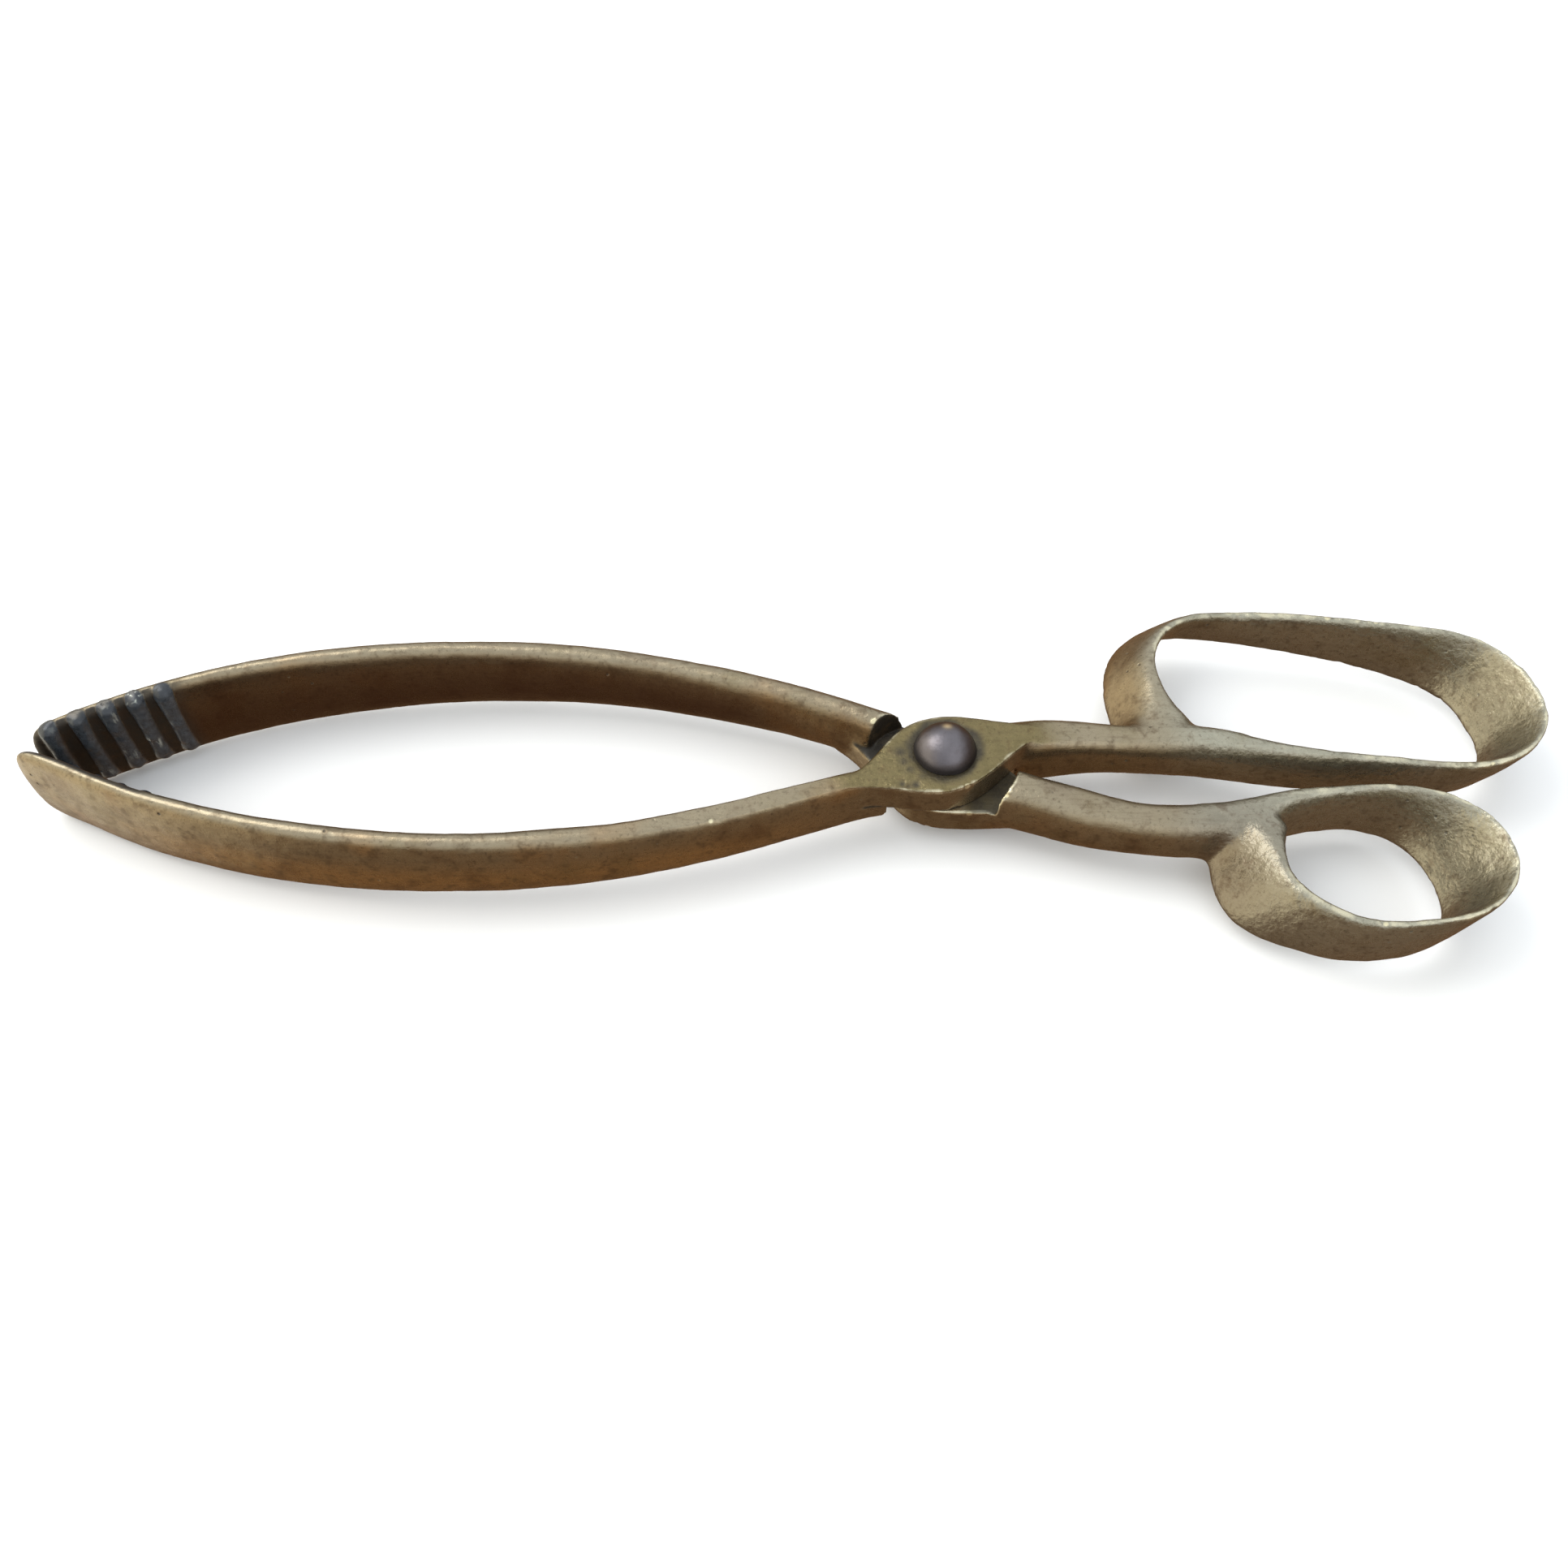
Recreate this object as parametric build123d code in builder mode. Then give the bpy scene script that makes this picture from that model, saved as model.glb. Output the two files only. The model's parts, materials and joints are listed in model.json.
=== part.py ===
"""Brass ice tongs: two castings that cross in a lap joint and turn on one rivet.

Frame: origin on the rivet axis, in the plane the tongs rest on. +X points to the
handles, +Y to the far jaw, +Z up. All sizes are millimetres.
"""

import os
from math import atan2, cos, hypot, pi, sin

from build123d import *

# ---- driving dimensions ---------------------------------------------------
MID = 9.8  # height of the plane where the two laps meet
LAP = 5.75  # thickness of each lap
LAP_GAP = 0.05  # running gap between the laps
STEP_R = 12.8  # hollow step, about the rivet, where a shank runs into its lap
PLATE_EDGE = 0.7  # rounding of the outer rims of the laps

SHANK_R = 3.0  # rivet shank
TURN_FIT = 0.05  # radial running clearance in the finger loop arm
HEAD_R = 5.5
HEAD_H = 4.5
HEAD_DOME_R = (HEAD_R**2 + HEAD_H**2) / (2 * HEAD_H)
SEAT_R = 5.8  # shallow seat sunk under the rivet head
SEAT_DEPTH = 0.3
WASHER_R = 5.4
WASHER_T = 1.2
TAIL_R = 4.6
TAIL_FLAT_R = 3.0
TAIL_BULGE_R = 4.3  # radius of the tail a third of the way up from its flat

JAW_AXIS_Y = 2.2  # the jaws mirror each other about this line
NOSE_DROP = 0.7  # the line turns down by this much at the tips,
NOSE_DROP_X = -120.0  # starting here
RIDGES = 5
RIDGE_TIP_X = -153.9
RIDGE_PITCH = 4.45
RIDGE_R = 1.5
RIDGE_PROUD = 0.6
RIDGE_LIFT = 0.7  # far ridges sit this much above mid height, near ridges as much below
FAR_RIDGE_END = 0.8  # the far jaw is longer than its ridges by this much at each end,
NEAR_RIDGE_END = 2.4  # and the near jaw by this much
RIDGE_TAPER = 0.9

# How square each limb's section is, as (x, power, x, power): a superellipse of power 2 is
# a plain ellipse, and higher powers are squarer.
NEAR_JAW_SQUARE = (-60.0, 2.5, -24.0, 3.0)
FAR_JAW_SQUARE = (-60.0, 2.5, -24.0, 2.1)
FINGER_SQUARE = (8.0, 4.5, 38.0, 2.3)
THUMB_SQUARE = (8.0, 3.0, 30.0, 2.3)
SECTION_POINTS = 16

# One jaw, tip to root: x, distance from the jaw axis, half width, half height.
JAW = [
    (-159.4, 1.9, 0.5, 4.6),
    (-158.7, 2.0, 0.95, 6.7),
    (-157.6, 2.3, 1.35, 8.1),
    (-155.8, 2.9, 1.65, 8.9),
    (-153.0, 4.1, 1.8, 9.25),
    (-148.9, 5.95, 1.9, 9.3),
    (-142.8, 8.8, 2.0, 9.2),
    (-134.0, 12.3, 2.2, 9.0),
    (-121.0, 16.1, 2.45, 8.7),
    (-104.0, 19.2, 2.65, 8.2),
    (-86.0, 20.6, 2.75, 7.6),
    (-68.0, 20.0, 2.85, 7.1),
    (-50.0, 17.5, 2.95, 6.6),
    (-35.0, 13.8, 3.1, 6.3),
    (-24.0, 10.4, 3.2, 6.1),
]
FAR_JAW_SHORT = 1.6  # the far jaw's nose stops this much short of the near one's,
SHORT_FROM = 5  # evened out ahead of this station
# The near jaw is slimmer towards its root, as (x, share of the width, x, share of the width).
NEAR_SLIM = (-60.0, 1.0, -24.0, 0.8)
FAR_SLIM = (-60.0, 1.0, -24.0, 1.0)
# Where each jaw runs into its lap: x, y, half width, half height.
NEAR_ROOT = [(-15.0, -5.5, 2.6, 5.7), (-4.5, -4.5, 3.3, 5.3)]
FAR_ROOT = [(-14.5, 8.9, 3.3, 5.9), (-5.0, 5.0, 3.8, 5.5)]

# Limbs from the lap out to the loop and round it: x, y, half width, half height, and
# how far the upper rim stands outside the lower rim.
FINGER_LIMB = [
    (8.0, 3.4, 3.6, 5.55, 0.0),
    (16.5, 4.0, 3.6, 5.5, 0.0),
    (21.6, 4.2, 3.5, 5.3, 0.0),
    (27.0, 4.2, 3.3, 4.8, 0.0),
    (38.0, 3.6, 3.4, 5.2, 0.0),
    (46.5, 3.0, 3.3, 5.7, 0.0),
    (54.5, 1.1, 2.4, 5.6, 0.0),
    (63.0, -0.6, 1.8, 5.4, 0.0),
    (75.0, -2.0, 1.4, 5.2, 0.0),
    (84.0, -2.9, 1.3, 5.1, 0.4),
    (91.3, -2.5, 1.2, 5.6, 2.6),
    (97.3, 0.2, 1.1, 6.3, 5.2),
    (101.0, 5.6, 1.0, 6.7, 7.2),
    (101.3, 11.5, 1.0, 6.8, 7.2),
    (99.3, 17.2, 1.0, 6.8, 6.2),
    (95.2, 22.0, 1.1, 6.7, 4.2),
    (88.0, 25.3, 1.3, 6.5, 1.6),
    (77.0, 28.4, 1.3, 5.8, 0.3),
    (65.5, 30.7, 1.3, 4.9, 0.0),
    (55.0, 32.0, 1.25, 4.1, -0.3),
    (47.5, 32.2, 1.3, 4.0, -1.8),
    (41.3, 30.3, 1.5, 4.2, -5.0),
    (37.2, 26.2, 1.7, 4.5, -6.6),
    (35.4, 20.3, 1.9, 4.7, -6.6),
    (35.8, 14.0, 2.6, 4.9, -6.2),
    (37.0, 9.0, 4.6, 4.9, -4.6),
    (38.6, 4.5, 6.6, 4.6, -2.0),
]
THUMB_LIMB = [
    (8.0, -5.4, 4.0, 5.4, 0.0),
    (15.0, -7.8, 4.0, 5.4, 0.0),
    (20.0, -9.5, 4.1, 5.3, 0.0),
    (25.5, -11.2, 4.0, 5.1, 0.0),
    (32.0, -12.7, 3.8, 4.9, 0.0),
    (40.0, -13.4, 4.0, 5.1, 0.0),
    (46.5, -13.0, 3.8, 5.7, 0.0),
    (53.5, -11.3, 3.0, 6.1, 0.0),
    (60.0, -9.7, 2.0, 6.2, 0.0),
    (67.0, -8.9, 1.6, 6.2, 0.0),
    (74.5, -9.3, 1.4, 6.5, 1.2),
    (80.3, -11.6, 1.3, 6.7, 3.8),
    (84.3, -15.0, 1.2, 6.8, 6.6),
    (86.6, -19.4, 1.1, 6.9, 8.2),
    (86.9, -24.0, 1.1, 6.9, 8.2),
    (85.1, -28.4, 1.1, 6.8, 6.2),
    (81.2, -32.0, 1.1, 6.6, 3.4),
    (75.2, -34.1, 1.2, 6.2, 1.0),
    (67.0, -34.8, 1.4, 6.2, 0.0),
    (60.0, -33.2, 1.6, 6.4, -1.0),
    (54.4, -30.0, 1.9, 6.5, -3.2),
    (50.8, -26.2, 2.3, 6.5, -6.0),
    (49.5, -21.5, 2.8, 6.3, -7.6),
    (49.8, -17.0, 4.4, 6.0, -6.0),
    (51.0, -12.8, 5.8, 5.4, -2.5),
]
FINGER_SPLIT = 13  # station in mid-bend, where each limb's two lofts meet
THUMB_SPLIT = 14
SPLIT_STEP = 0.06  # the second loft starts this much slimmer, inside the end of the first

# Plan outlines of the laps, from the jaw round the far side and back.
UPPER_LAP_FAR = [(-18, -6.4), (-14.6, -3.2), (-11.0, 0.8), (-7.2, 5.0), (0, 7.5), (7, 7.0), (17, 5.4)]
UPPER_LAP_NEAR = [(17, 2.6), (12.2, -0.6), (6.3, -5.9), (0.5, -8.7), (-9, -8.2), (-18, -8.2)]
LOWER_LAP_FAR = [(-18, 9.9), (-11, 9.0), (-2, 8.2), (5.5, 5.6), (11.2, 0.4), (17, -6.2)]
LOWER_LAP_NEAR = [(17, -9.8), (12.4, -9.3), (1.5, -9.2), (-5.6, -7.5), (-11, -0.8), (-13.9, 3.8), (-18, 8.0)]
# Hollow step across each jaw's root: three points of its arc in plan.
FAR_STEP = [(-6.2, 9.2), (-12.4, 5.1), (-14.4, -0.5)]
NEAR_STEP = [(-5.2, -8.9), (-12.0, -4.9), (-14.4, 0.5)]


def section(x, y, heading, half_width, half_height, lean, power):
    """Upright closed section across a limb: a superellipse, sheared so its top leans to the left."""
    across = (-sin(heading), cos(heading), 0)
    points = []
    for i in range(SECTION_POINTS):
        angle = 2 * pi * i / SECTION_POINTS
        c, s = cos(angle), sin(angle)
        up = abs(s) ** (2 / power) * (1 if s > 0 else -1)
        out = abs(c) ** (2 / power) * (1 if c > 0 else -1)
        points.append((half_width * out + lean / 2 * up, half_height * up))
    plane = Plane(origin=(x, y, MID), x_dir=across, z_dir=(cos(heading), sin(heading), 0))
    with BuildSketch(plane) as profile:
        with BuildLine():
            Spline(*points, periodic=True)
        make_face()
    return profile.sketch


def between(x, x_a, value_a, x_b, value_b):
    """value_a up to x_a, value_b from x_b on, and a straight run between them."""
    share = min(1.0, max(0.0, (x - x_a) / (x_b - x_a)))
    return value_a + share * (value_b - value_a)


def limb_sections(stations, square, outward=1):
    """Sections across a run of stations, each square to the run's direction in plan."""
    sections = []
    for i, (x, y, half_width, half_height, lean) in enumerate(stations):
        ahead = stations[min(i + 1, len(stations) - 1)]
        behind = stations[max(i - 1, 0)]
        heading = atan2(ahead[1] - behind[1], ahead[0] - behind[0])
        power = between(x, *square)
        profile = section(x, y, heading, half_width, half_height, lean * outward, power)
        sections.append(profile)
    return sections


def limb_halves(stations, square, split, outward=1):
    """Sections of a limb's two lofts, up to the split station and on from it."""
    x, y, half_width, half_height, lean = stations[split]
    slimmer = (x, y, half_width - SPLIT_STEP, half_height - SPLIT_STEP, lean)
    first = limb_sections(stations, square, outward)
    second = limb_sections(stations[:split] + [slimmer] + stations[split + 1 :], square, outward)
    return first[: split + 1], second[split:]


def jaw_stations(side, root, slim, short=0.0):
    """The jaw's stations in plan: side is -1 for the near jaw and 1 for the far one."""
    nose_x = JAW[0][0]
    stations = []
    for x, offset, half_width, half_height in JAW:
        drop = between(x, nose_x, NOSE_DROP, NOSE_DROP_X, 0.0)
        shift = between(x, nose_x, short, JAW[SHORT_FROM][0], 0.0)
        y = JAW_AXIS_Y - drop + side * offset
        stations.append((x + shift, y, half_width * between(x, *slim), half_height, 0.0))
    return stations + [(x, y, half_width, half_height, 0.0) for x, y, half_width, half_height in root]


def step_outline(arc):
    """Plan of the space that the other arm's lap turns in, from the arc across the jaw's root round the rivet."""
    outer, middle, inner = arc
    side = 1 if outer[1] > 0 else -1
    with BuildSketch() as outline:
        with BuildLine():
            ThreePointArc(outer, middle, inner)
            Line(inner, (0, -side * STEP_R))
            ThreePointArc((0, -side * STEP_R), (STEP_R, 0), (0, side * STEP_R))
            Line((0, side * STEP_R), outer)
        make_face()
    return outline.sketch


def ridge_places(stations, side, end):
    """Centre and half length of each gripping ridge on the inner face of a jaw."""
    places = []
    for i in range(RIDGES):
        x = RIDGE_TIP_X + i * RIDGE_PITCH
        after = next(k for k, station in enumerate(stations) if station[0] > x)
        x0, y0, width0, height0, _ = stations[after - 1]
        x1, y1, width1, height1, _ = stations[after]
        t = (x - x0) / (x1 - x0)
        stretch = hypot(1, (y1 - y0) / (x1 - x0))
        inward = (width0 + t * (width1 - width0) + RIDGE_PROUD - RIDGE_R) * stretch
        half_length = height0 + t * (height1 - height0) - end
        places.append((x, y0 + t * (y1 - y0) - side * inward, half_length))
    return places


def ridge(half_length):
    """One gripping ridge: a round bar along Z with tapered ends, half sunk in the jaw."""
    with BuildPart() as bar:
        Cylinder(RIDGE_R, 2 * half_length)
        chamfer(bar.edges().filter_by(GeomType.CIRCLE), RIDGE_TAPER)
    return bar.part


with BuildPart() as finger_loop_arm:
    with BuildSketch(Plane.XY.offset(MID + LAP_GAP / 2)):
        with BuildLine():
            far_side = Spline(*UPPER_LAP_FAR)
            near_side = Spline(*UPPER_LAP_NEAR)
            Line(far_side @ 1, near_side @ 0)
            Line(near_side @ 1, far_side @ 0)
        make_face()
    extrude(amount=LAP - LAP_GAP / 2)
    fillet(faces().sort_by(Axis.Z)[-1].edges().filter_by(GeomType.BSPLINE), PLATE_EDGE)
    shank, loop = limb_halves(FINGER_LIMB, FINGER_SQUARE, FINGER_SPLIT, outward=-1)
    near_jaw = jaw_stations(-1, NEAR_ROOT, NEAR_SLIM)
    loft(sections=limb_sections(near_jaw, NEAR_JAW_SQUARE))
    loft(sections=shank)
    loft(sections=loop)
    for x, y, half_length in ridge_places(near_jaw, -1, NEAR_RIDGE_END):
        with Locations((x, y, MID - RIDGE_LIFT)):
            add(ridge(half_length))
    with BuildSketch(Plane.XY.offset(MID + LAP_GAP / 2)):
        add(step_outline(NEAR_STEP))
    extrude(amount=-2 * LAP, mode=Mode.SUBTRACT)
    with Locations((0, 0, MID)):
        Cylinder(SHANK_R + TURN_FIT, 4 * LAP, mode=Mode.SUBTRACT)
    with Locations((0, 0, MID + LAP - SEAT_DEPTH)):
        Cylinder(SEAT_R, LAP, align=(Align.CENTER, Align.CENTER, Align.MIN), mode=Mode.SUBTRACT)
finger_loop_arm.part.label = "finger_loop_arm"

with BuildPart() as thumb_ring_arm:
    with BuildSketch(Plane.XY.offset(MID - LAP)):
        with BuildLine():
            far_side = Spline(*LOWER_LAP_FAR)
            near_side = Spline(*LOWER_LAP_NEAR)
            Line(far_side @ 1, near_side @ 0)
            Line(near_side @ 1, far_side @ 0)
        make_face()
    extrude(amount=LAP - LAP_GAP / 2)
    fillet(faces().sort_by(Axis.Z)[0].edges().filter_by(GeomType.BSPLINE), PLATE_EDGE)
    shank, ring = limb_halves(THUMB_LIMB, THUMB_SQUARE, THUMB_SPLIT)
    far_jaw = jaw_stations(1, FAR_ROOT, FAR_SLIM, FAR_JAW_SHORT)
    loft(sections=limb_sections(far_jaw, FAR_JAW_SQUARE))
    loft(sections=shank)
    loft(sections=ring)
    for x, y, half_length in ridge_places(far_jaw, 1, FAR_RIDGE_END):
        with Locations((x, y, MID + RIDGE_LIFT)):
            add(ridge(half_length))
    with BuildSketch(Plane.XY.offset(MID - LAP_GAP / 2)):
        add(step_outline(FAR_STEP))
    extrude(amount=2 * LAP, mode=Mode.SUBTRACT)
    with Locations((0, 0, MID)):
        Cylinder(SHANK_R, 4 * LAP, mode=Mode.SUBTRACT)
thumb_ring_arm.part.label = "thumb_ring_arm"

# Rivet: half profile in the XZ plane, from the flat of the tail up to the crown of the head.
head_z = MID + LAP - SEAT_DEPTH + LAP_GAP
tail_z = MID - LAP - WASHER_T
with BuildPart() as pivot_rivet:
    with BuildSketch(Plane.XZ):
        with BuildLine():
            Polyline((TAIL_FLAT_R, 0), (0, 0), (0, head_z + HEAD_H))
            RadiusArc((HEAD_R, head_z), (0, head_z + HEAD_H), -HEAD_DOME_R)
            Polyline((HEAD_R, head_z), (SHANK_R, head_z), (SHANK_R, tail_z), (TAIL_R, tail_z))
            ThreePointArc((TAIL_R, tail_z), (TAIL_BULGE_R, tail_z / 3), (TAIL_FLAT_R, 0))
        make_face()
    revolve(axis=Axis.Z)
pivot_rivet.part.label = "pivot_rivet"

with BuildPart() as rivet_washer:
    with BuildSketch(Plane.XY.offset(tail_z)):
        Circle(WASHER_R)
        Circle(SHANK_R, mode=Mode.SUBTRACT)
    extrude(amount=WASHER_T)
    fillet(faces().sort_by(Axis.Z)[0].edges().sort_by(SortBy.RADIUS)[-1], WASHER_T / 3)
rivet_washer.part.label = "rivet_washer"

os.makedirs("parts", exist_ok=True)
export_step(finger_loop_arm.part, "parts/finger_loop_arm.step")
export_step(thumb_ring_arm.part, "parts/thumb_ring_arm.step")
export_step(pivot_rivet.part, "parts/pivot_rivet.step")
export_step(rivet_washer.part, "parts/rivet_washer.step")
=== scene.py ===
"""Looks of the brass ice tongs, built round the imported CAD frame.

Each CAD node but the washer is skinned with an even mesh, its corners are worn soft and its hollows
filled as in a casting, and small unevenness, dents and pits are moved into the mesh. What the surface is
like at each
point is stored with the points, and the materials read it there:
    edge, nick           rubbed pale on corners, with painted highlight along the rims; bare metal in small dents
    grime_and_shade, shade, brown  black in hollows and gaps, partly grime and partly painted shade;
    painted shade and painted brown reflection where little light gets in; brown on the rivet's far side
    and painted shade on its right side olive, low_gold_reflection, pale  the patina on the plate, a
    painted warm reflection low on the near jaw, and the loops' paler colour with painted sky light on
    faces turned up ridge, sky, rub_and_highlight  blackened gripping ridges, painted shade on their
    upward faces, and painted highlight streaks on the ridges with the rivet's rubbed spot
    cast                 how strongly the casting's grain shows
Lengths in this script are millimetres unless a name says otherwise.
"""

import itertools
import json
import math

import bpy
import numpy as np
from mathutils import Matrix, Vector

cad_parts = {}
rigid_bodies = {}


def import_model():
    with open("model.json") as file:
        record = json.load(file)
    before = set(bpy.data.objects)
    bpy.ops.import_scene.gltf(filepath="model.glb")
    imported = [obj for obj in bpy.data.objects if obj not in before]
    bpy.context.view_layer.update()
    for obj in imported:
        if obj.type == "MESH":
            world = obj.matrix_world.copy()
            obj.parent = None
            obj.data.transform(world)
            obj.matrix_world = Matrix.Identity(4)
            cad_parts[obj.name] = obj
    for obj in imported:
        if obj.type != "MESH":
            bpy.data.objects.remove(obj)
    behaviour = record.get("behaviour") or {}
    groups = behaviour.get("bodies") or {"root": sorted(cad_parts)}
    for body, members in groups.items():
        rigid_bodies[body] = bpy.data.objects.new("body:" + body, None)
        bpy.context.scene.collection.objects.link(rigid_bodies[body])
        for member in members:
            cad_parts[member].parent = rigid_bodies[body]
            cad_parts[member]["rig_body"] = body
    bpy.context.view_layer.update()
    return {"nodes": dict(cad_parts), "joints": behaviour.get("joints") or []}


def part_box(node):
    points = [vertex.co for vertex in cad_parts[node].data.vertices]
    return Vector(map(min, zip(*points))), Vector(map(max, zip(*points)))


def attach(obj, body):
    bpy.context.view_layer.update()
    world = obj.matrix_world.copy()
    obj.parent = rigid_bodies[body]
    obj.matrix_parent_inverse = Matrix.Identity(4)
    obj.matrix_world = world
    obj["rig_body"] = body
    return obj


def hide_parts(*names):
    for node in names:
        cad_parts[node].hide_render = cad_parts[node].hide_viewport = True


MM = 0.001
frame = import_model()
scene = bpy.context.scene

# ---- the frame's own measures ----------------------------------------------
hinge = frame["joints"][0]
MID = hinge["pos_m"][2] / MM
HEAD_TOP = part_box("pivot_rivet")[1].z / MM
HEAD_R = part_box("pivot_rivet")[1].x / MM
TIP_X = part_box("finger_loop_arm")[0].x / MM

SKIN = 0.32  # edge length of the arms' mesh
RIVET_SKIN = 0.22
MATING_GAP = 0.03  # each lap's mating face stays this far off the plane between them
LAP_HEIGHT = 5.75
PLATE_TOP = MID + LAP_HEIGHT
STEP_R = 12.8  # the step across each jaw's root, from the rivet's axis

# What differs between the arms is given by side: 1 for the far jaw's arm, -1 for the near jaw's.
RIDGES = 5
RIDGE_FIRST = 5.5  # from the near jaw's tip to its first ridge
RIDGE_PITCH = 4.45
RIDGE_R = 1.5
RIDGE_LIFT = 0.7  # each jaw's ridges are centred this far to its own side of the laps' plane
RIDGE_HALF_LENGTH = {1: 8.5, -1: 6.9}
FORK = {1: (46, -16), -1: (41, 7)}  # where the ring or loop leaves its shank, in plan
FORK_REACH = 8
RING_ROOT = (47, -20)  # painted shade under the ring's root, in plan

# The near jaw's crown where it runs out of the plate: its height over the laps' plane, along x.
CROWN_X = (-68, -50, -35, -24, -15)
CROWN_HEIGHT = (7.1, 6.6, 6.3, 6.1, LAP_HEIGHT)
CROWN_START, CROWN_END = -66, -13

# Old marks: the pits and stains in the plate's top, as (x, y), reach, strength, and a bright
# nick in the far jaw's rim.
NICKS = 46
PIT_DEPTH = 0.25
PITS = [((-5.4, -7.2), 0.75, 0.9), ((-7.7, -7.0), 0.55, 0.9), ((-6.6, -7.5), 0.5, 0.6)]
STAINS = [
    ((-7.6, -0.4), 1.3, 0.8),
    ((-7.2, -2.4), 1.1, 0.7),
    ((-6.2, -4.1), 0.9, 0.7),
    ((-4.2, -5.6), 0.8, 0.6),
]
RIM_NICK = (-88.4, 20.8, MID + 7.6)
BLOWHOLE = (12.8, -1.9, MID + 1.3)  # in the corner between the finger arm's lap and its shank


# ---- points, as arrays -----------------------------------------------------
def step(low, high, values):
    """0 below low, 1 above high, smooth between."""
    t = np.clip((values - low) / (high - low), 0, 1)
    return t * t * (3 - 2 * t)


def lattice_noise(points, size, seed):
    """Smooth noise from -1 to 1 that changes over about size millimetres."""
    cell = points / size + 0.37 * seed
    base = np.floor(cell).astype(np.int64)
    t = cell - base
    t = t * t * (3 - 2 * t)
    total = np.zeros(len(points))
    for corner in itertools.product((0, 1), repeat=3):
        at = base + corner
        mixed = at[:, 0] * 73856093 ^ at[:, 1] * 19349663 ^ at[:, 2] * 83492791 ^ seed * 2971215073
        mixed = (mixed ^ (mixed >> 13)) * 1274126177 & 0xFFFFFFFF
        mixed = (mixed ^ (mixed >> 16)) * 2246822519 & 0xFFFFFFFF
        value = (mixed >> 8) / float(1 << 23) - 1
        weight = np.prod(np.where(corner, t, 1 - t), axis=1)
        total += weight * value
    return total


class Skin:
    """A closed mesh as arrays: its points, edges and faces, and the values stored at its points."""

    def __init__(self, node, cell):
        source = bpy.data.objects.new("source", frame["nodes"][node].data.copy())
        scene.collection.objects.link(source)
        remesh = source.modifiers.new("skin", "REMESH")
        remesh.mode = "VOXEL"
        remesh.voxel_size = cell * MM
        bpy.context.view_layer.update()
        evaluated = source.evaluated_get(bpy.context.evaluated_depsgraph_get())
        self.mesh = bpy.data.meshes.new_from_object(evaluated)
        bpy.data.objects.remove(source)
        count = len(self.mesh.vertices)
        flat = np.empty(count * 3)
        self.mesh.vertices.foreach_get("co", flat)
        self.points = flat.reshape(-1, 3) / MM
        ends = np.empty(len(self.mesh.edges) * 2, np.int64)
        self.mesh.edges.foreach_get("vertices", ends)
        self.ends = ends.reshape(-1, 2)
        corners = np.empty(len(self.mesh.loops), np.int64)
        self.mesh.loops.foreach_get("vertex_index", corners)
        self.faces = corners.reshape(-1, 4)
        self.valence = np.bincount(self.ends.ravel(), minlength=count)[:, None]
        self.cell = cell

    def around(self, values):
        """Mean of each point's neighbours."""
        a, b = self.ends.T
        total = np.empty_like(values)
        for column in range(values.shape[1]):
            total[:, column] = np.bincount(a, values[b, column], len(values))
            total[:, column] += np.bincount(b, values[a, column], len(values))
        return total / self.valence

    def normals(self):
        p0, p1, p2, p3 = (self.points[self.faces[:, k]] for k in range(4))
        across = np.cross(p2 - p0, p3 - p1)
        total = np.zeros_like(self.points)
        for column in range(3):
            for k in range(4):
                total[:, column] += np.bincount(self.faces[:, k], across[:, column], len(total))
        return total / np.maximum(np.linalg.norm(total, axis=1, keepdims=True), 1e-12)

    def relax(self, rounds, weight=1.0):
        """Evens the surface out: corners wear round and hollows fill."""
        share = 0.5 * (weight if np.isscalar(weight) else weight[:, None])
        for _ in range(rounds):
            self.points += share * (self.around(self.points) - self.points)

    def fill(self, reach, weight):
        """Fills inside corners to about reach, and leaves outside corners alone."""
        rounds = int(1.3 * (reach / self.cell) ** 2)
        for k in range(rounds):
            if k % 4 == 0:
                normals = self.normals()
            shift = self.around(self.points) - self.points
            outward = np.einsum("ij,ij->i", shift, normals)
            self.points += normals * (0.9 * weight * np.maximum(outward, 0))[:, None]

    def spread(self, values, reach):
        """Blurs a value at the points over about reach."""
        values = values[:, None]
        for _ in range(int((reach / self.cell) ** 2) + 1):
            values = 0.5 * values + 0.5 * self.around(values)
        return values[:, 0]

    def bend(self, reach):
        """How sharply the surface turns: above 0 on outside corners, below 0 in hollows."""
        shift = self.points - self.around(self.points)
        turn = np.einsum("ij,ij->i", shift, self.normals()) / self.cell**2
        return self.spread(turn, reach)

    def dent(self, centre, radius, depth):
        """Pushes a round dent in, and returns how strongly each point is in it."""
        away = np.linalg.norm(self.points - np.array(centre), axis=1)
        share = np.exp(-((away / radius) ** 2))
        self.points -= self.normals() * (depth * share)[:, None]
        return share

    def store(self, name, values):
        attribute = self.mesh.attributes.new(name, "FLOAT", "POINT")
        attribute.data.foreach_set("value", values.astype(np.float32))

    def piece(self, name, node, material):
        """Turns the arrays into a piece that rides where its CAD node rides."""
        self.mesh.vertices.foreach_set("co", (self.points * MM).astype(np.float32).ravel())
        self.mesh.polygons.foreach_set("use_smooth", np.ones(len(self.mesh.polygons), bool))
        self.mesh.materials.clear()
        self.mesh.materials.append(material)
        self.mesh.name = name
        self.mesh.update()
        made = bpy.data.objects.new(name, self.mesh)
        scene.collection.objects.link(made)
        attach(made, frame["nodes"][node]["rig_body"])
        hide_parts(node)
        return made


# ---- materials -------------------------------------------------------------
def rgb(red, green, blue):
    """A colour given as 0-255 screen values, in the linear values that Blender wants."""
    linear = []
    for value in (red, green, blue):
        share = value / 255
        linear.append(share / 12.92 if share <= 0.04045 else ((share + 0.055) / 1.055) ** 2.4)
    return (*linear, 1.0)


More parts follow.
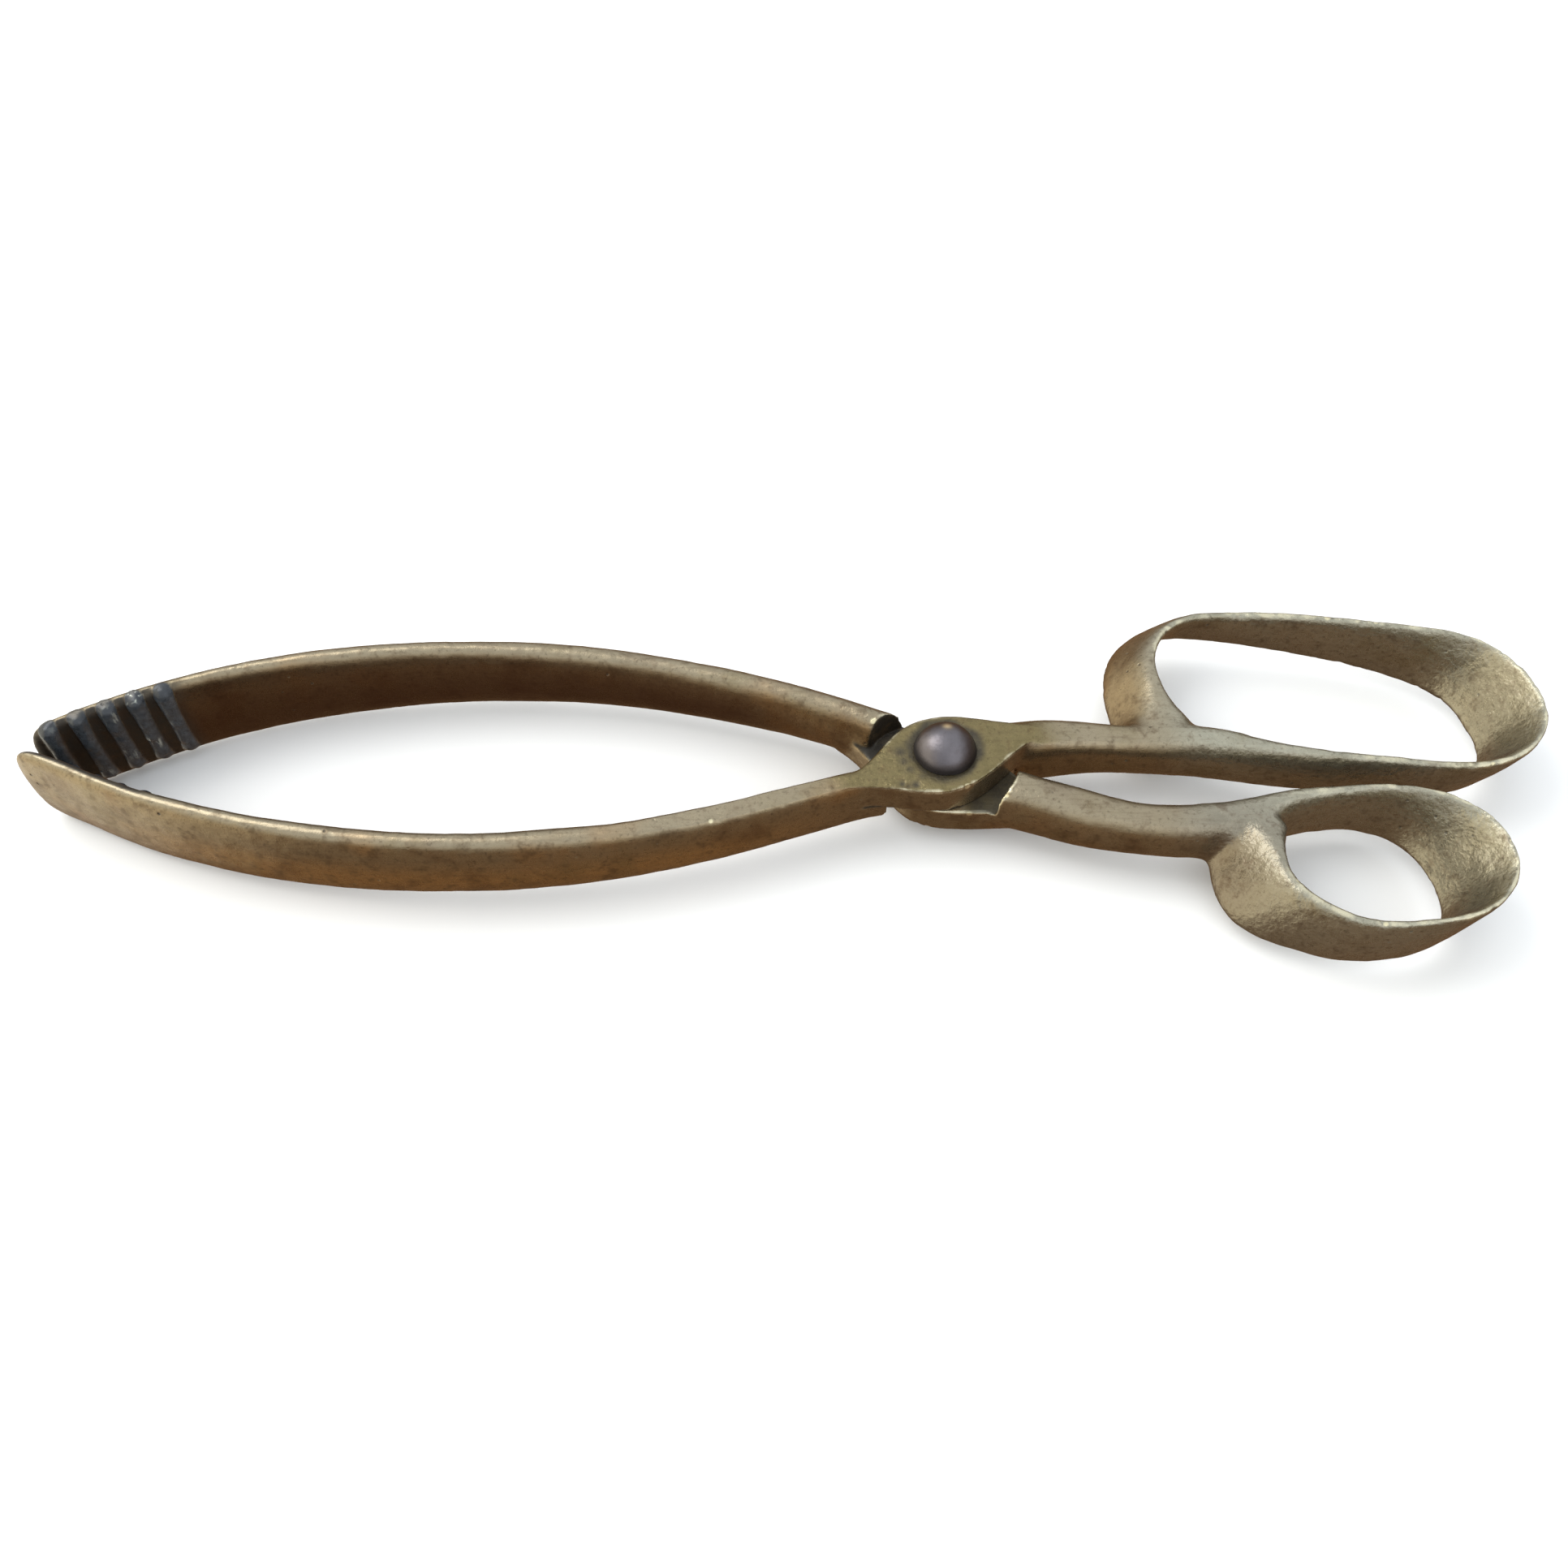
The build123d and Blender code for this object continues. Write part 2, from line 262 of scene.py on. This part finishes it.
class Nodes:
    """Short calls that build the nodes of a material or world."""

    def __init__(self, owner):
        owner.use_nodes = True
        self.tree = owner.node_tree
        self.tree.nodes.clear()

    def add(self, kind, inputs=None, **settings):
        node = self.tree.nodes.new(kind)
        for key, value in settings.items():
            setattr(node, key, value)
        for key, value in (inputs or {}).items():
            if isinstance(value, bpy.types.NodeSocket):
                self.tree.links.new(value, node.inputs[key])
            else:
                node.inputs[key].default_value = value
        return node

    def maths(self, operation, a, b=0.0):
        return self.add("ShaderNodeMath", {0: a, 1: b}, operation=operation).outputs[0]

    def level(self, value, low, high, to_low=0.0, to_high=1.0):
        """value, stretched so that low to high becomes to_low to to_high, and held there."""
        inputs = {"Value": value, "From Min": low, "From Max": high, "To Min": to_low, "To Max": to_high}
        return self.add("ShaderNodeMapRange", inputs, interpolation_type="SMOOTHSTEP").outputs[0]

    def mix(self, share, a, b):
        return self.add("ShaderNodeMix", {0: share, 6: a, 7: b}, data_type="RGBA").outputs[2]


class Shader(Nodes):
    """One material's nodes."""

    def __init__(self, name):
        self.material = bpy.data.materials.new(name)
        super().__init__(self.material)
        here = self.add("ShaderNodeTexCoord").outputs["Object"]
        inputs = {0: here, 1: (1 / MM,) * 3}
        self.place = self.add("ShaderNodeVectorMath", inputs, operation="MULTIPLY").outputs[0]

    def stored(self, name):
        return self.add("ShaderNodeAttribute", attribute_name=name).outputs["Fac"]

    def noise(self, size, detail=3.0, stretch=(1, 1, 1), rough=0.55, shift=0.0):
        """Noise from 0 to 1 with blotches of about size; stretch lengthens them along x, y and z."""
        scale = tuple(1 / (size * s) for s in stretch)
        inputs = {"Vector": self.place, "Location": (shift,) * 3, "Scale": scale}
        place = self.add("ShaderNodeMapping", inputs)
        inputs = {"Vector": place.outputs[0], "Scale": 1.0, "Detail": detail, "Roughness": rough}
        return self.add("ShaderNodeTexNoise", inputs).outputs["Fac"]

    def specks(self, size, shift=0.0):
        """Distance to the nearest of scattered points, in shares of size."""
        place = self.add("ShaderNodeMapping", {"Vector": self.place, "Location": (shift,) * 3})
        inputs = {"Vector": place.outputs[0], "Scale": 1 / size}
        return self.add("ShaderNodeTexVoronoi", inputs).outputs["Distance"]

    def bump(self, height, depth, under=None):
        inputs = {"Height": height, "Distance": depth * MM, "Strength": 1.0}
        if under is not None:
            inputs["Normal"] = under
        return self.add("ShaderNodeBump", inputs).outputs[0]

    def finish(self, colour, metal, rough, normal):
        inputs = {"Base Color": colour, "Metallic": metal, "Roughness": rough, "Normal": normal}
        surface = self.add("ShaderNodeBsdfPrincipled", inputs)
        self.add("ShaderNodeOutputMaterial", {"Surface": surface.outputs[0]})
        return self.material


def aged_brass():
    """Brass under a thin brown and olive patina, worn pale on the edges with painted highlight along the
    rims, and dark in the hollows with grime and painted shade.
    """
    s = Shader("aged_brass")
    cloud = s.noise(14, 4)
    mottle = s.noise(2.6, 5, rough=0.65)
    grain = s.noise(0.35, 3, shift=5)
    drawn = s.noise(0.5, 4, stretch=(14, 1, 1), shift=9)

    tan = s.mix(cloud, rgb(122, 106, 80), rgb(150, 132, 104))
    olive = s.mix(mottle, rgb(80, 70, 44), rgb(142, 128, 90))
    share = s.maths("ADD", s.stored("olive"), s.level(cloud, 0.35, 0.75, -0.2, 0.5))
    pale = s.mix(mottle, rgb(122, 118, 102), rgb(178, 174, 156))
    # Painted warm reflection: golden brown low on the near jaw.
    tan = s.mix(s.stored("low_gold_reflection"), tan, rgb(178, 138, 84))
    tan = s.mix(s.level(s.noise(22, 3, shift=17), 0.5, 0.68, 0, 0.6), tan, rgb(150, 112, 66))
    tan = s.mix(s.level(s.noise(9, 4, shift=19), 0.52, 0.7, 0, 0.5), tan, rgb(98, 72, 46))
    # Paler on the loops, and painted sky light on faces turned up.
    colour = s.mix(s.stored("pale"), tan, pale)
    colour = s.mix(s.level(share, 0.1, 0.9), colour, olive)
    colour = s.mix(s.level(mottle, 0.5, 0.7, 0, 0.55), colour, rgb(80, 62, 40))
    fleck = s.noise(0.8, 4, rough=0.7, shift=13)
    colour = s.mix(s.level(fleck, 0.52, 0.72, 0, 0.45), colour, rgb(60, 48, 32))
    colour = s.mix(s.level(drawn, 0.5, 0.75, 0, 0.3), colour, rgb(96, 80, 60))

    # Painted shade and painted brown reflection: the far jaw's inner face, darker toward the bottom, the
    # gaps between the ridges (partly brown patina), the ring's root and faces turned down.
    brown = s.maths("MULTIPLY", s.stored("shade"), s.level(cloud, 0.2, 0.8, 0.8, 1.0))
    colour = s.mix(brown, colour, rgb(74, 48, 32))

    # Rubbed wear on the corners, and painted highlight along the rims.
    wear = s.maths("MULTIPLY", s.stored("edge"), s.level(mottle, 0.3, 0.65, 0.35, 1.0))
    colour = s.mix(s.level(wear, 0.15, 0.9, 0, 0.8), colour, rgb(206, 198, 170))
    nick = s.stored("nick")
    colour = s.mix(s.level(nick, 0.3, 0.8, 0, 0.85), colour, rgb(214, 204, 168))

    pits = s.maths("SUBTRACT", 1.0, s.level(s.specks(3.1), 0.03, 0.13))
    pits = s.maths("MULTIPLY", pits, s.level(s.noise(6, shift=3), 0.5, 0.62))
    # Black in hollows, gaps and round the rivet's seat: partly grime, partly painted shade; the pits are
    # real.
    grime_and_shade = s.maths("MAXIMUM", s.stored("grime_and_shade"), s.maths("MULTIPLY", pits, 0.8))
    grime_and_shade = s.maths("MULTIPLY", grime_and_shade, s.level(mottle, 0.2, 0.6, 0.65, 1.0))
    colour = s.mix(grime_and_shade, colour, rgb(34, 29, 21))
    # Painted shade: brown toward the silhouettes, where the surface turns away from the camera.
    facing = s.add("ShaderNodeLayerWeight", {"Blend": 0.5}).outputs["Facing"]
    colour = s.mix(s.level(facing, 0.72, 0.97, 0, 0.55), colour, rgb(104, 58, 34))

    ridge = s.stored("ridge")
    steel = s.mix(s.noise(0.9, 5, shift=2), rgb(16, 17, 20), rgb(92, 98, 104))
    streak = s.level(s.noise(1.2, 4, stretch=(1, 1, 3), shift=7), 0.5, 0.62)
    # Painted shade: the ridges' faces turned up are darkened.
    steel = s.mix(s.maths("MULTIPLY", s.stored("sky"), 0.75), steel, rgb(34, 36, 40))
    # Painted highlight: whitish streaks on the ridges.
    steel = s.mix(s.maths("MULTIPLY", streak, s.stored("rub_and_highlight")), steel, rgb(206, 210, 198))
    colour = s.mix(ridge, colour, steel)

    rough = s.level(mottle, 0.25, 0.75, 0.22, 0.37)
    rough = s.maths("ADD", rough, s.maths("MULTIPLY", grime_and_shade, 0.25))
    rough = s.maths("SUBTRACT", rough, s.maths("MULTIPLY", wear, 0.08))
    metal = s.maths("SUBTRACT", 0.85, s.maths("MULTIPLY", s.maths("MAXIMUM", grime_and_shade, ridge), 0.6))

    normal = s.bump(grain, 0.02)
    normal = s.bump(drawn, 0.03, normal)
    normal = s.bump(mottle, 0.05, normal)
    normal = s.bump(s.maths("MULTIPLY", s.noise(1.1, 4, shift=11), s.stored("cast")), 0.2, normal)
    normal = s.bump(pits, -0.12, normal)
    return s.finish(colour, metal, rough, normal)


def patinated_steel():
    """Dark violet-grey steel, brown over the dome's far side, with painted shade over its right side and
    one rubbed spot of bare metal.
    """
    s = Shader("patinated_steel")
    cloud = s.noise(5, 4, shift=1)
    mottle = s.noise(1.1, 5, rough=0.6, shift=4)
    colour = s.mix(cloud, rgb(84, 79, 82), rgb(116, 112, 115))
    # Brown on the dome's far side, and painted shade on its right side.
    colour = s.mix(s.stored("brown"), colour, rgb(58, 42, 35))
    colour = s.mix(s.level(mottle, 0.5, 0.75, 0, 0.4), colour, rgb(84, 76, 76))
    colour = s.mix(s.stored("rub_and_highlight"), colour, rgb(206, 184, 146))
    # A dark ring round the head's rim: partly grime, partly painted shadow where the dome meets the
    # plate.
    grime_and_shade = s.stored("grime_and_shade")
    colour = s.mix(grime_and_shade, colour, rgb(30, 27, 24))
    rough = s.level(mottle, 0.2, 0.8, 0.3, 0.44)
    rough = s.maths("ADD", rough, s.maths("MULTIPLY", grime_and_shade, 0.3))
    normal = s.bump(s.noise(0.3, 3, shift=6), 0.015)
    normal = s.bump(mottle, 0.04, normal)
    return s.finish(colour, 0.9, rough, normal)


def dull_brass():
    """The washer's plain brass, dull and spotted."""
    s = Shader("dull_brass")
    mottle = s.noise(1.4, 5, rough=0.65)
    colour = s.mix(mottle, rgb(104, 88, 58), rgb(150, 132, 92))
    normal = s.bump(mottle, 0.05, s.bump(s.noise(0.3, 3), 0.02))
    return s.finish(colour, 0.85, s.level(mottle, 0.2, 0.8, 0.4, 0.58), normal)


# ---- the castings ----------------------------------------------------------
def flatten_root(skin):
    """Files the near jaw's crown flat where it runs out of the plate, so that the plate's edge
    goes on as a crease."""
    x, _, z = skin.points.T
    crown = MID + np.interp(x, CROWN_X, CROWN_HEIGHT)
    depth = 0.42 * step(CROWN_START, -40, x) - 0.6 * step(-22, -12, x)
    there = (x > CROWN_START) & (x < CROWN_END) & (z > MID)
    skin.points[:, 2] = np.where(there, np.minimum(z, crown - depth), z)


def on_ridges(points, lines, side):
    """1 on the gripping ridges, 0 off them."""
    share = np.zeros(len(points))
    for line_x, line_y in lines:
        away = np.hypot(points[:, 0] - line_x, points[:, 1] - line_y)
        share = np.maximum(share, step(RIDGE_R + 0.2, RIDGE_R, away))
    off_end = np.abs(points[:, 2] - MID - side * RIDGE_LIFT) - RIDGE_HALF_LENGTH[side]
    return share * step(0.5, -0.3, off_end)


def uneven(skin, still, ridge):
    """Moves the small unevenness of a hand-finished casting into the mesh; still is 1 where the
    mesh must stay true."""
    points = skin.points
    height = 0.10 * lattice_noise(points, 9.0, 1) + 0.05 * lattice_noise(points, 3.6, 2)
    height += 0.025 * lattice_noise(points, 1.3, 3)
    height += 0.06 * step(34, 44, points[:, 0]) * lattice_noise(points, 2.2, 4)
    height += ridge * (0.25 + 0.16 * lattice_noise(points, 1.5, 5))
    skin.points += skin.normals() * (height * (1 - still))[:, None]


def ridge_lines(skin, side):
    """The axis of each gripping ridge in plan, found from how far the jaw's inner face reaches."""
    lines = []
    for k in range(RIDGES):
        x = TIP_X + RIDGE_FIRST + k * RIDGE_PITCH
        near = np.abs(skin.points[:, 0] - x) < RIDGE_R / 2
        reach = (-side * skin.points[near, 1]).max()
        lines.append((x, -side * (reach - RIDGE_R)))
    return lines


def casting(node, side, seed):
    """One arm of the tongs, with its wear and its painted light and shade stored at its points."""
    skin = Skin(node, SKIN)
    x, y, z = skin.points.T  # views, so they follow the points as these move
    lines = ridge_lines(skin, side)
    from_rivet = np.hypot(x, y)
    lap = side * (MID - z)  # above 0 in the half of the height where this arm's lap is
    mating = step(0.9, 0.3, np.abs(z - MID)) * step(STEP_R + 1.5, STEP_R, from_rivet)

    skin.relax(6, 1 - mating)
    skin.fill(1.2, (1 - mating) * step(-120, -100, x))
    bases = step(24, 32, x) * step(66, 56, x) + step(12, 15, x) * step(22, 19, x)
    skin.fill(2.6, np.clip(bases, 0, 1) * (1 - mating))
    fork_x, fork_y = FORK[side]
    blend = np.exp(-(((x - fork_x) ** 2 + (y - fork_y) ** 2) / FORK_REACH**2))
    skin.relax(36, blend * (1 - mating))
    if side < 0:
        plate_end = step(-27, -22, x) * step(-9, -13, x) * step(MID, MID + 1, z)
        skin.fill(2.6, plate_end)
        skin.relax(12, plate_end)
        flatten_root(skin)

    still = np.clip(mating + step(7.0, 6.2, from_rivet), 0, 1)
    ridge = on_ridges(skin.points, lines, side)
    uneven(skin, still, ridge)

    # The lap's mating face is true again, clear of the plane that the laps share.
    face = mating * (lap < 0.9) > 0.5
    limit = MID - side * MATING_GAP
    flat = np.minimum(z, limit) if side > 0 else np.maximum(z, limit)
    skin.points[:, 2] = np.where(face & (from_rivet < STEP_R), flat, skin.points[:, 2])

    nick, hole = old_marks(skin, side, from_rivet, np.random.default_rng(seed))
    weather(skin, side, lap, lines, ridge, nick, hole)
    return skin


def old_marks(skin, side, from_rivet, random):
    """Dents the corners and pits the plate. Returns how strongly each point is in a bright dent
    and in the blowhole."""
    corner = skin.bend(0.6)
    nick = np.zeros(len(skin.points))
    hole = np.zeros(len(skin.points))
    sharp = np.flatnonzero((corner > np.quantile(corner, 0.96)) & (from_rivet > 8))
    for at in random.choice(sharp, NICKS, replace=False):
        radius = random.uniform(0.3, 0.75)
        share = skin.dent(skin.points[at], radius, random.uniform(0.06, 0.2))
        nick = np.maximum(nick, share * random.choice((0, 0, 1)))
    if side > 0:
        nick = np.maximum(nick, skin.dent(RIM_NICK, 0.8, 0.15))
    else:
        for (pit_x, pit_y), reach, _ in PITS:
            skin.dent((pit_x, pit_y, PLATE_TOP), reach, PIT_DEPTH)
        hole = skin.dent(BLOWHOLE, 0.9, 0.5)
    return nick, hole


def weather(skin, side, lap, lines, ridge, nick, hole):
    """Stores what age has done to each point, and where light and shade are painted, for the materials
    to read.
    """
    x, y, z = skin.points.T
    normals = skin.normals()
    bend = skin.bend(0.8)
    hollow = skin.bend(1.6)
    from_rivet = np.hypot(x, y)
    on_jaw = step(-8, -16, x)
    # Rubbed wear on corners not turned down, and painted highlight along the rims and the plate's
    # crease.
    worn = step(0.07, 0.24, bend) * step(-0.35, 0.3, normals[:, 2]) * (1 - 0.85 * on_jaw)
    worn *= 1 - step(-126, -130, x) * step(9.0, 8.2, np.abs(z - MID))
    if side < 0:
        worn *= 1 - step(-25, -20, x) * step(-10, -15, x)
    skin.store("edge", worn)
    # shade is painted shade and painted brown reflection: the far jaw's inner face under its rim, darker
    # toward the bottom; the gaps between the ridges, partly brown patina; the ring's root; faces turned
    # down.
    inner = step(0.1, 0.5, -side * normals[:, 1])
    gap = step(-132, -136, x) * step(0.0, 0.3, -side * normals[:, 1]) * (1 - ridge)
    lower = 0.65 + 0.3 * step(MID + 6, MID - 3, z)
    under_rim = inner * step(0.75, 0.05, normals[:, 2]) * step(-14, -40, x) * (side > 0)
    shade = lower * under_rim + 0.3 * gap
    if side > 0:
        root_x, root_y = RING_ROOT
        ring_root = np.exp(-(((x - root_x) / 9) ** 2 + ((y - root_y) / 13) ** 2))
        shade = np.maximum(shade, 0.45 * ring_root)
    shade = np.maximum(shade, 0.5 * step(0.2, -0.6, normals[:, 2]))
    skin.store("shade", np.clip(shade, 0, 0.95))

    # Black in hollows, between the ridges, in the blowhole and round the rivet's seat: partly grime,
    # partly painted shade. The pits and stains are real dirt.
    rim = HEAD_R + 0.9 + 0.7 * lattice_noise(skin.points, 2.2, 12)
    seat = step(rim + 1.0, rim - 0.6, from_rivet) * step(MID + 3, MID + 5, z)
    grime_and_shade = np.maximum(step(-0.03, -0.12, hollow) * step(-125, -100, x), seat * 0.85)
    grime_and_shade = np.maximum(grime_and_shade, gap * 0.95)
    # The step across the jaw's root: its wall and its floor are darkened nearly to black.
    inward = -(x * normals[:, 0] + y * normals[:, 1]) / np.maximum(from_rivet, 0.1)
    above = step(0.4, 0.0, lap)
    stepped = step(-2.5, -4.5, x) * step(STEP_R + 4, STEP_R + 3, from_rivet) * above
    wall = stepped * np.maximum(step(0.25, 0.6, inward), step(0.8, 0.4, np.abs(z - MID)))
    # The ledge at the shank's root is darkened and dulled a little less than the step.
    ledge = step(2, 5, x) * step(18, 17, x) * step(0.5, 0.2, np.abs(z - MID))
    ledge *= step(0.5, 0.9, np.abs(normals[:, 2]))
    grime_and_shade = np.maximum(np.maximum(grime_and_shade, wall), 0.8 * ledge)
    for (pit_x, pit_y), reach, strength in PITS + STAINS if side < 0 else ():
        spot = np.exp(-(((x - pit_x) ** 2 + (y - pit_y) ** 2) / reach**2)) * step(MID + 4, MID + 5, z)
        grime_and_shade = np.maximum(grime_and_shade, strength * spot)
    grime_and_shade = np.maximum(grime_and_shade, step(0.2, 0.6, hole))
    skin.store("grime_and_shade", np.clip(grime_and_shade, 0, 1))
    skin.store("ridge", ridge)
    # Painted highlight: whitish streaks on the ridges, strongest on the fourth.
    fourth = step(2.0, 1.2, np.abs(x - lines[3][0]))
    skin.store("rub_and_highlight", step(0.0, 0.5, lattice_noise(skin.points, 4.0, 11)) * (0.3 + 0.7 * fourth))
    # Faces turned up, which get painted shade on the ridges.
    skin.store("sky", step(0.1, 0.6, normals[:, 2]))
    skin.store("nick", nick)
    plate = step(27, 14, from_rivet) * step(0.5, 0.9, normals[:, 2]) * step(MID + 4.5, MID + 5.2, z)
    skin.store("olive", np.clip(plate * (side < 0) + 0.8 * ledge, 0, 1))
    loop = step(34, 48, x)
    skin.store("cast", np.clip(plate + loop, 0, 1))
    # Painted warm reflection, golden brown low on the near jaw's outer face.
    low = step(MID + 5, MID - 2, z) * (side < 0)
    skin.store("low_gold_reflection", 0.75 * low * step(-150, -118, x) * step(-8, -44, x))
    # pale: the loops' paler colour, a little paler toward the near jaw's nose, and painted sky light on
    # faces turned up.
    nose = step(-90, -150, x) * (side < 0)
    skin.store("pale", np.clip(0.75 * loop + 0.35 * step(0.45, 0.9, normals[:, 2]) + 0.1 * nose, 0, 1))


def rivet():
    """The rivet: a hand-hammered dome, dark round its rim with grime and painted shadow."""
    skin = Skin("pivot_rivet", RIVET_SKIN)
    skin.relax(2)
    x, y, z = skin.points.T  # views, as in casting
    head = step(HEAD_TOP - 5, HEAD_TOP - 3.5, z)
    height = 0.06 * lattice_noise(skin.points, 2.6, 21) + 0.03 * lattice_noise(skin.points, 1.1, 22)
    skin.points += skin.normals() * (height * head)[:, None]
    # A dark ring round the head's rim: partly grime, partly painted shadow where the dome meets the
    # plate.
    skin.store("grime_and_shade", step(HEAD_R - 0.9, HEAD_R, np.hypot(x, y)) * head * 0.9)
    # Brown over the dome's far side; over its right side, away from the key light, it is painted shade.
    skin.store("brown", np.clip(0.9 * step(0.5, 4.0, y) + 0.7 * step(1.5, 4.5, x), 0, 1))
    skin.store("rub_and_highlight", np.exp(-((x - 0.2) ** 2 + (y - 2.2) ** 2) / 0.5))
    return skin


brass = aged_brass()
casting("thumb_ring_arm", 1, 5).piece("thumb_ring_casting", "thumb_ring_arm", brass)
casting("finger_loop_arm", -1, 6).piece("finger_loop_casting", "finger_loop_arm", brass)
rivet().piece("hammered_rivet", "pivot_rivet", patinated_steel())
washer = frame["nodes"]["rivet_washer"]
washer.data.materials.clear()
washer.data.materials.append(dull_brass())


# ---- floor, light and camera -----------------------------------------------
def floor():
    """A plain pale floor that metal doesn't mirror, and that can't be seen from below."""
    mesh = bpy.data.meshes.new("floor")
    half = 3.0  # metres
    corners = [(-half, -half, 0), (half, -half, 0), (half, half, 0), (-half, half, 0)]
    mesh.from_pydata(corners, [], [(0, 1, 2, 3)])
    made = bpy.data.objects.new("floor", mesh)
    scene.collection.objects.link(made)
    made.visible_glossy = False
    s = Shader("pale_floor")
    tint = s.mix(s.noise(60, 3), rgb(238, 237, 235), rgb(244, 243, 241))
    surface = s.add("ShaderNodeBsdfPrincipled", {"Base Color": tint, "Roughness": 0.9})
    clear = s.add("ShaderNodeBsdfTransparent")
    behind = s.add("ShaderNodeNewGeometry").outputs["Backfacing"]
    either = s.add("ShaderNodeMixShader", {0: behind, 1: surface.outputs[0], 2: clear.outputs[0]})
    s.add("ShaderNodeOutputMaterial", {"Surface": either.outputs[0]})
    mesh.materials.append(s.material)


def softbox(name, place, size, watts):
    """A square soft light aimed at the rivet; place and size are in metres."""
    light = bpy.data.lights.new(name, "AREA")
    light.size = size
    light.energy = watts
    made = bpy.data.objects.new(name, light)
    made.location = place
    made.rotation_euler = (-Vector(place)).to_track_quat("-Z", "Y").to_euler()
    scene.collection.objects.link(made)


def surroundings():
    """Soft grey sky above, warm brown below the horizon, and a pale wall low down on the left.
    The camera sees a pale backdrop instead."""
    world = bpy.data.worlds.new("surroundings")
    scene.world = world
    s = Nodes(world)
    towards = s.add("ShaderNodeTexCoord").outputs["Generated"]
    along = s.add("ShaderNodeSeparateXYZ", {0: towards}).outputs
    height = s.add("ShaderNodeMapRange", {"Value": along["Z"], "From Min": -1.0}).outputs[0]
    ramp = s.add("ShaderNodeValToRGB", {0: height})
    ramp.color_ramp.interpolation = "EASE"
    stops = [
        (0.0, (0.27, 0.155, 0.075)),
        (0.47, (0.37, 0.23, 0.125)),
        (0.53, (0.60, 0.57, 0.53)),
        (0.80, (1.40, 1.48, 1.56)),
    ]
    while len(ramp.color_ramp.elements) < len(stops):
        ramp.color_ramp.elements.new(0.5)
    for element, (at, colour) in zip(ramp.color_ramp.elements, stops):
        element.position = at
        element.color = (*colour, 1)
    wall = s.level(along["X"], -0.45, -0.85)
    mirrored = s.mix(wall, ramp.outputs[0], (1.9, 1.78, 1.45, 1))
    seen = s.add("ShaderNodeLightPath").outputs["Is Camera Ray"]
    sky = s.mix(seen, mirrored, (0.93, 0.93, 0.92, 1))
    lit = s.add("ShaderNodeBackground", {"Color": sky, "Strength": 0.9})
    s.add("ShaderNodeOutputWorld", {"Surface": lit.outputs[0]})


def camera():
    """Stands in front of the near jaw and looks down on the tongs."""
    tilt = math.radians(55)
    roll = math.radians(-0.5)
    aim = Vector((-27.7, -2.9, MID)) * MM
    distance = 0.2535  # metres
    back = Vector((0, -math.cos(tilt), math.sin(tilt)))
    level = Vector((1, 0, 0))
    rise = back.cross(level)
    right = math.cos(roll) * level + math.sin(roll) * rise
    lens = bpy.data.cameras.new("camera")
    lens.lens = 33.54
    lens.sensor_width = 36
    lens.clip_start = 0.01
    made = bpy.data.objects.new("camera", lens)
    axes = Matrix((right, back.cross(right), back)).transposed()
    made.matrix_world = Matrix.Translation(aim + distance * back) @ axes.to_4x4()
    scene.collection.objects.link(made)
    scene.camera = made


scene.view_settings.view_transform = "Standard"
floor()
surroundings()
softbox("key", (-0.55, 0.25, 0.75), size=0.6, watts=4)
softbox("fill", (0.5, -0.6, 0.6), size=0.8, watts=0.8)
camera()
